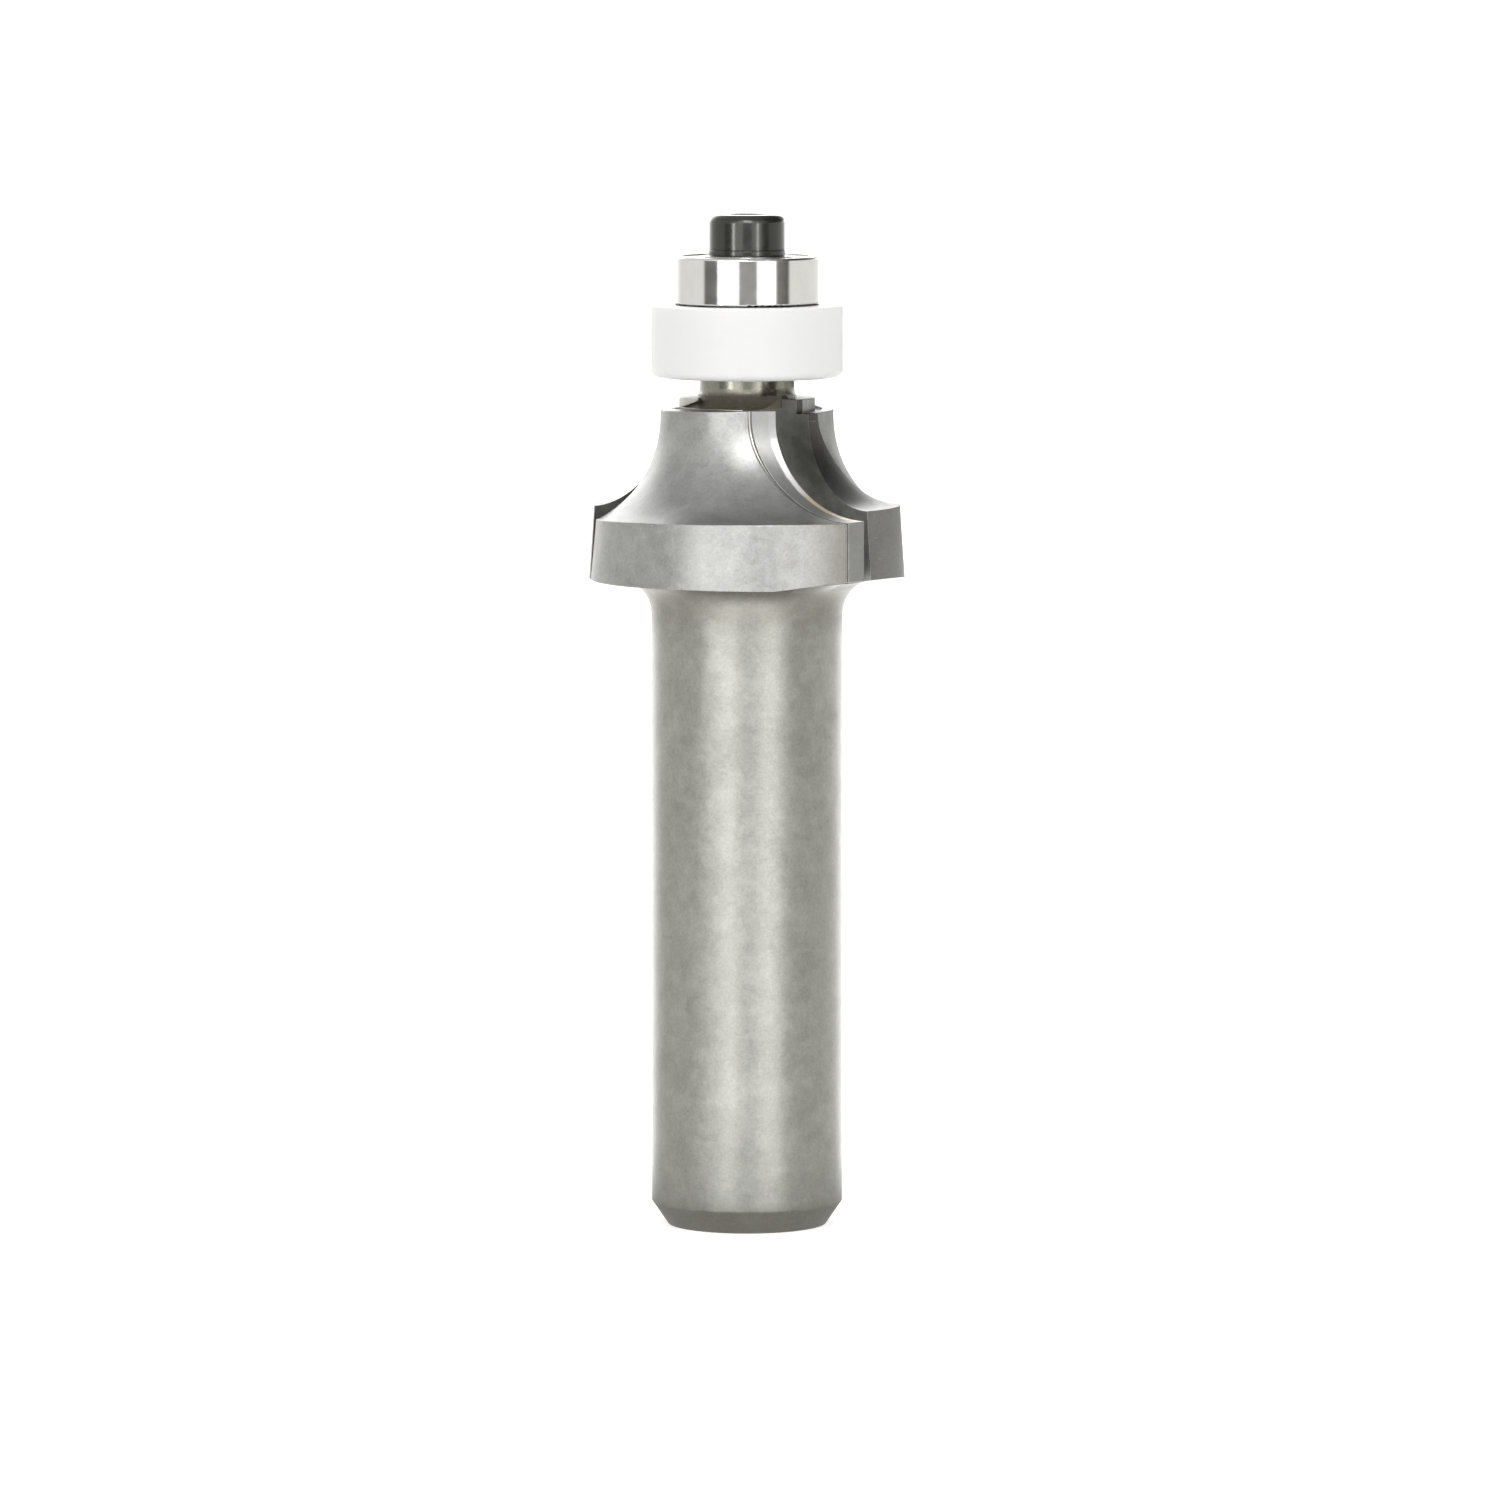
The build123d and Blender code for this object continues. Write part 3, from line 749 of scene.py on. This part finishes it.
def make_small_steel(name, colour, rough_low, rough_high, line_depth):
    """Steel of a bearing or spacer, with hairlines round the axis and a breath of fingerprints."""
    material, tree, shader, place = new_material(name)
    grain = use_group(
        tree, satin_grain, vector=place, speckle_size=0.1, speckle=0.08, blotch_size=1.4, blotch=0.16,
    )
    lines = use_group(tree, turned_lines, vector=place, pitch=0.06, breaks=0.15)
    wear = use_group(tree, edge_wear, vector=place, radius=0.06 * MM)
    join(tree, shade_colour(tree, colour, grain), shader.inputs["Base Color"])
    rough = ramp(tree, grain.outputs["Mask"], 0.35, 0.7, out_low=rough_low, out_high=rough_high)
    join(tree, rough, shader.inputs["Roughness"])
    shader.inputs["Metallic"].default_value = 1.0
    surface = bump(tree, lines.outputs["Height"], line_depth, strength=0.5, normal=wear.outputs["Normal"])
    join(tree, surface, shader.inputs["Normal"])
    return material


def make_sleeve_plastic():
    """White acetal, turned, with faint rings and the first grey of use at its corners."""
    material, tree, shader, place = new_material("white acetal")
    grain = use_group(
        tree, satin_grain, vector=place, speckle_size=0.3, speckle=0.02, blotch_size=2.5, blotch=0.05,
    )
    rings = use_group(tree, turned_lines, vector=place, pitch=0.09, breaks=0.1).outputs["Height"]
    wear = use_group(tree, edge_wear, vector=place, radius=0.1 * MM)
    stains = use_group(tree, handling_stains, vector=place, size=2.2, cover=0.4)
    colour = tint(tree, stains.outputs["Mask"], 0.05, ACETAL_FILM, shade_colour(tree, ACETAL, grain))
    colour = tint(tree, wear.outputs["Mask"], 0.15, WORN_ACETAL, colour)
    join(tree, colour, shader.inputs["Base Color"])
    join(tree, ramp(tree, rings, 0.3, 0.7, out_low=0.38, out_high=0.5), shader.inputs["Roughness"])
    shader.inputs["Subsurface Weight"].default_value = 0.25
    shader.inputs["Subsurface Radius"].default_value = (0.6 * MM, 0.55 * MM, 0.5 * MM)
    shader.inputs["Subsurface Scale"].default_value = 1.0
    surface = bump(tree, rings, distance=0.003 * MM, strength=0.5, normal=wear.outputs["Normal"])
    join(tree, surface, shader.inputs["Normal"])
    return material


def make_black_oxide():
    """Blackened screw steel under a thin coat of oil, rubbed to bare metal along its edges."""
    material, tree, shader, place = new_material("black oxide")
    grain = use_group(
        tree, satin_grain, vector=place, speckle_size=0.1, speckle=0.5, blotch_size=0.8, blotch=0.5,
    )
    wear = use_group(tree, edge_wear, vector=place, radius=0.09 * MM)
    rounded = use_group(tree, edge_wear, vector=place, radius=0.13 * MM).outputs["Normal"]
    lines = use_group(tree, turned_lines, vector=place, pitch=0.12, breaks=0.4)
    colour = shade_colour(tree, BLACK_OXIDE, grain)
    colour = tint(tree, wear.outputs["Mask"], 0.35, RUBBED_OXIDE, colour)
    join(tree, colour, shader.inputs["Base Color"])
    rough = ramp(tree, grain.outputs["Mask"], 0.3, 0.7, out_low=0.17, out_high=0.27)
    join(tree, rough, shader.inputs["Roughness"])
    shader.inputs["Metallic"].default_value = 0.75
    shader.inputs["Coat Weight"].default_value = 0.35
    shader.inputs["Coat Roughness"].default_value = 0.11
    surface = bump(tree, lines.outputs["Height"], distance=0.004 * MM, strength=0.5, normal=rounded)
    join(tree, surface, shader.inputs["Normal"])
    return material


def dress(material, *names):
    """Give CAD nodes their finished material in place of the plain one."""
    for name in names:
        mesh = nodes[name].data
        if mesh.materials:
            mesh.materials[0] = material
        else:
            mesh.materials.append(material)


dress(make_body_steel(), "bit_body")
dress(make_carbide(), "carbide_tip_front", "carbide_tip_rear")
dress(make_braze(), "braze_front", "braze_rear")
for steel_name, (steel_colour, lowest, highest, depth, pieces) in SMALL_STEELS.items():
    dress(make_small_steel(steel_name, steel_colour, lowest, highest, depth), *pieces)
dress(make_black_oxide(), "cap_screw", "screw_washer")
dress(make_sleeve_plastic(), "guide_sleeve")


# Studio

def link_mesh(name, vertices, faces):
    mesh = bpy.data.meshes.new(name)
    mesh.from_pydata(vertices, [], faces)
    thing = bpy.data.objects.new(name, mesh)
    bpy.context.scene.collection.objects.link(thing)
    return thing


def reflect_only(thing):
    """Hide a thing from all but the reflections."""
    thing.visible_camera = False
    thing.visible_diffuse = False
    thing.visible_shadow = False
    thing.visible_transmission = False


def aim(thing, place, target):
    """Stand a camera or lamp at a place, looking at a target."""
    thing.location = place
    thing.rotation_euler = (Vector(target) - Vector(place)).to_track_quat("-Z", "Y").to_euler()
    bpy.context.scene.collection.objects.link(thing)


def seen_share(tree):
    """One for rays that show a thing: straight, in a reflection or through glass."""
    rays = add_node(tree, "ShaderNodeLightPath")
    seen = math_node(tree, "MAXIMUM", rays.outputs["Is Camera Ray"], rays.outputs["Is Glossy Ray"])
    return math_node(tree, "MAXIMUM", seen, rays.outputs["Is Transmission Ray"])


def make_floor():
    """White table that fills the frame and keeps the bit's soft shadow."""
    half = TABLE_HALF
    corners = [(-half, -half, 0), (half, -half, 0), (half, half, 0), (-half, half, 0)]
    floor = link_mesh("table_top", corners, [(0, 1, 2, 3)])
    material, tree = empty_material("white table")
    diffuse = add_node(tree, "ShaderNodeBsdfDiffuse")
    diffuse.inputs["Color"].default_value = TABLE_COLOUR
    glow = glow_of(tree, WHITE, product(tree, seen_share(tree), TABLE_GLOW))
    show(tree, sum_of(tree, diffuse.outputs[0], glow))
    floor.data.materials.append(material)


def make_world():
    """Even white surround: plain for the camera and for reflections, dimmer as a light."""
    world = bpy.data.worlds.new("studio")
    bpy.context.scene.world = world
    world.use_nodes = True
    tree = world.node_tree
    tree.nodes.clear()
    background = add_node(tree, "ShaderNodeBackground")
    background.inputs["Color"].default_value = WHITE
    strength = ramp(tree, seen_share(tree), 0.0, 1.0, out_low=SURROUND_AS_LIGHT, out_high=SURROUND_SEEN)
    join(tree, strength, background.inputs["Strength"])
    show(tree, background.outputs[0], "ShaderNodeOutputWorld")


def tone_ramp(tree, share, tones):
    """Colour ramp round the tent; its colours are scaled to the brightest tone, which comes back with it."""
    node = add_node(tree, "ShaderNodeValToRGB")
    highest = max(tone for _, tone, _ in tones)
    stops = node.color_ramp.elements
    while len(stops) < len(tones):
        stops.new(0.5)
    for stop, (angle, tone, warmth) in zip(stops, tones):
        stop.position = (angle + 180) / 360
        level = tone / highest
        stop.color = (level, level * (1 - warmth / 4), level * (1 - warmth), 1)
    join(tree, share, node.inputs[0])
    return node.outputs[0], highest


def make_tent():
    """Light tent that only reflections see: soft boxes in front, white paper behind, a curtain, a ceiling."""
    rings = ((TENT_OPENING, TENT_FLOOR), (TENT_RADIUS, TENT_FLOOR), (TENT_RADIUS, TENT_HEIGHT))
    vertices = []
    faces = []
    for index in range(TENT_STEPS):
        angle = 2 * math.pi * index / TENT_STEPS
        for radius, rise in rings:
            vertices.append((radius * math.cos(angle), radius * math.sin(angle), rise))
        here = 3 * index
        ahead = 3 * ((index + 1) % TENT_STEPS)
        faces.append((here, ahead, ahead + 1, here + 1))
        faces.append((here + 1, ahead + 1, ahead + 2, here + 2))
    faces.append(tuple(3 * index + 2 for index in range(TENT_STEPS)))
    tent = link_mesh("light_tent", vertices, faces)
    reflect_only(tent)

    material, tree = empty_material("light tent")
    place = add_node(tree, "ShaderNodeTexCoord").outputs["Object"]
    x, y, height = parts_of(tree, place)
    turn = math_node(tree, "ARCTAN2", x, product(tree, y, -1.0))
    share = ramp(tree, turn, -math.pi, math.pi)
    degrees = in_degrees(tree, turn)
    away = from_axis(tree, place)
    raised = math_node(tree, "SUBTRACT", height, LIGHT_LEVEL)
    lift = in_degrees(tree, math_node(tree, "ARCTAN2", raised, away))
    ring_colour, ring_peak = tone_ramp(tree, share, RING_TONES)
    soft_colour, soft_peak = tone_ramp(tree, share, SOFT_TONES)

    in_ring = window(tree, height, *RING_HEIGHTS)
    ceiling = ramp(tree, lift, *CEILING_LIFT, smooth=True)
    # The table lies in the bit's own shade near its foot, and carries the boxes' light further out
    lit_table = ramp(tree, away, *LIT_TABLE)
    shade = ramp(tree, away, *TABLE_SHADE, out_low=SHADE_NEAR_FOOT, out_high=SHADE_FURTHER_OUT)
    # Behind, a strip of lit paper above the table
    behind = ramp(tree, math_node(tree, "ABSOLUTE", degrees), *PAPER_TURN, smooth=True)
    paper = product(tree, behind, window(tree, lift, *PAPER_LIFT), PAPER_TONE)

    # A black curtain hangs on the right, longer towards the back and thinner overhead. The bearings' own
    # heights stay free of it.
    hung = product(tree, window(tree, degrees, *CURTAIN_TURN), ramp(tree, lift, *CURTAIN_LIFT))
    long_end = product(
        tree,
        window(tree, degrees, *LONG_END_TURN),
        ramp(tree, height, *LONG_END_HEIGHT),
        ramp(tree, lift, *LONG_END_LIFT),
    )
    curtain = product(
        tree,
        math_node(tree, "MAXIMUM", hung, long_end),
        ramp(tree, lift, *CURTAIN_OVERHEAD, out_low=CURTAIN_OVERHEAD_SHARE, out_high=1.0),
        CURTAIN_DARKNESS,
    )
    past_curtain = rest_of(tree, curtain)
    at_bearing = window(tree, height, *BEARING_HEIGHTS)

    ring = product(tree, in_ring, ring_peak, mix_values(tree, at_bearing, past_curtain, 1.0))
    soft = product(tree, rest_of(tree, in_ring), soft_peak, rest_of(tree, ceiling), lit_table, past_curtain)
    plain = product(tree, shade, rest_of(tree, lit_table))
    plain = math_node(tree, "ADD", plain, product(tree, ceiling, CEILING_TONE))
    plain = product(tree, math_node(tree, "ADD", plain, paper), past_curtain)
    walls = sum_of(tree, glow_of(tree, ring_colour, ring), glow_of(tree, soft_colour, soft))
    show(tree, sum_of(tree, walls, glow_of(tree, WHITE, plain)))
    tent.data.materials.append(material)


def make_round_lamp(name, azimuth, lift, half_angle, strength):
    """Round lamp that only reflections see; the main one makes the bright spot on the cove."""
    level = ROUND_LAMP_DISTANCE * math.cos(math.radians(lift))
    middle = Vector((
        level * math.sin(math.radians(azimuth)),
        -level * math.cos(math.radians(azimuth)),
        LIGHT_LEVEL + ROUND_LAMP_DISTANCE * math.sin(math.radians(lift)),
    ))
    radius = ROUND_LAMP_DISTANCE * math.tan(math.radians(half_angle))
    towards = (Vector((0, 0, LIGHT_LEVEL)) - middle).normalized()
    across = towards.orthogonal().normalized()
    along = towards.cross(across)
    vertices = []
    for index in range(ROUND_LAMP_STEPS):
        angle = 2 * math.pi * index / ROUND_LAMP_STEPS
        vertices.append(middle + across * radius * math.cos(angle) + along * radius * math.sin(angle))
    lamp = link_mesh("round_lamp_" + name, vertices, [tuple(range(ROUND_LAMP_STEPS))])
    reflect_only(lamp)
    material, tree = empty_material("round lamp " + name)
    show(tree, glow_of(tree, WHITE, strength))
    lamp.data.materials.append(material)


def make_soft_box(name, place, size, power):
    """Square lamp that reflections don't see."""
    data = bpy.data.lights.new(name, "AREA")
    data.shape = "SQUARE"
    data.size = size
    data.energy = power
    lamp = bpy.data.objects.new(name, data)
    lamp.visible_glossy = False
    aim(lamp, place, SOFT_BOX_AIM)


def make_camera():
    data = bpy.data.cameras.new("camera")
    data.sensor_width = 36.0
    data.lens = CAMERA_LENS
    data.clip_start = 0.01
    data.clip_end = 50.0
    camera = bpy.data.objects.new("camera", data)
    aim(camera, CAMERA_PLACE, CAMERA_AIM)
    bpy.context.scene.camera = camera


make_floor()
make_world()
make_tent()
for lamp_name, lamp_values in ROUND_LAMPS.items():
    make_round_lamp(lamp_name, *lamp_values)
for box_name, box_values in SOFT_BOXES.items():
    make_soft_box(box_name, *box_values)
make_camera()
bpy.context.scene.view_settings.view_transform = "Standard"
